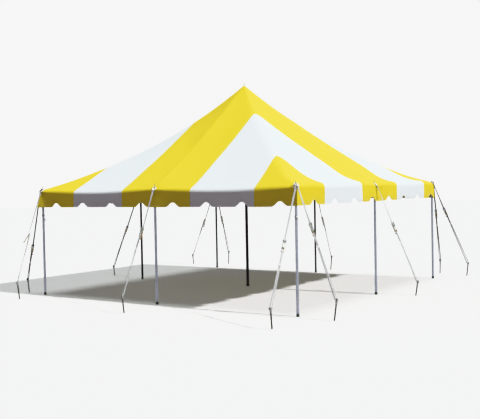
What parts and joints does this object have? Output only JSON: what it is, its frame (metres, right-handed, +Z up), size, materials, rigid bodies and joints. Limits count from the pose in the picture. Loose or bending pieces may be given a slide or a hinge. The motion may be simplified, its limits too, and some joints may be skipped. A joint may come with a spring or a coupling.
{
  "type": "marquee tent",
  "caption": "Square pole marquee with a sagging pyramid canopy in yellow and white stripes, a scalloped valance, steel poles, and ratchet guys tied to ground stakes.",
  "frame": {"origin": "on the ground plane, at the centre of the centre pole's foot", "axes": "+Z up; the canopy's four sides face -Y (front), +X (right), +Y (back) and -X (left)"},
  "size_m": [8.1185, 8.4392, 4.4],
  "materials": {
    "yellow_vinyl": "yellow coated polyester tent cloth, soft sheen",
    "white_vinyl": "white coated polyester tent cloth, soft sheen",
    "galvanised_steel": "galvanised steel tube, dull blue grey",
    "white_webbing": "white woven polyester webbing",
    "stake_iron": "dark rusty iron bar"
  },
  "bodies": {
    "root": {"canopy_centre_front": "yellow_vinyl", "canopy_centre_right": "yellow_vinyl", "canopy_centre_back": "yellow_vinyl", "canopy_centre_left": "yellow_vinyl", "canopy_corner_front_left": "yellow_vinyl", "canopy_corner_front_right": "yellow_vinyl", "canopy_corner_back_right": "yellow_vinyl", "canopy_corner_back_left": "yellow_vinyl", "canopy_white_front_left": "white_vinyl", "canopy_white_front_right": "white_vinyl", "canopy_white_back_right": "white_vinyl", "canopy_white_back_left": "white_vinyl", "centre_pole_upper": "galvanised_steel", "centre_pole_lower": "galvanised_steel", "side_pole_front_left": "galvanised_steel", "side_pole_front_right": "galvanised_steel", "side_pole_back_right": "galvanised_steel", "side_pole_back_left": "galvanised_steel", "side_pole_front_mid": "galvanised_steel", "side_pole_right_mid": "galvanised_steel", "side_pole_back_mid": "galvanised_steel", "side_pole_left_mid": "galvanised_steel", "guy_front_left_a": "white_webbing", "guy_front_left_b": "white_webbing", "guy_front_right_a": "white_webbing", "guy_front_right_b": "white_webbing", "guy_back_right_a": "white_webbing", "guy_back_right_b": "white_webbing", "guy_back_left_a": "white_webbing", "guy_back_left_b": "white_webbing", "guy_front_mid": "white_webbing", "guy_right_mid": "white_webbing", "guy_back_mid": "white_webbing", "guy_left_mid": "white_webbing", "stake_front_left_a": "stake_iron", "stake_front_left_b": "stake_iron", "stake_front_right_a": "stake_iron", "stake_front_right_b": "stake_iron", "stake_back_right_a": "stake_iron", "stake_back_right_b": "stake_iron", "stake_back_left_a": "stake_iron", "stake_back_left_b": "stake_iron", "stake_front_mid": "stake_iron", "stake_right_mid": "stake_iron", "stake_back_mid": "stake_iron", "stake_left_mid": "stake_iron", "pole_tie_front_left": "white_webbing", "pole_tie_front_right": "white_webbing"}
  },
  "joints": []
}
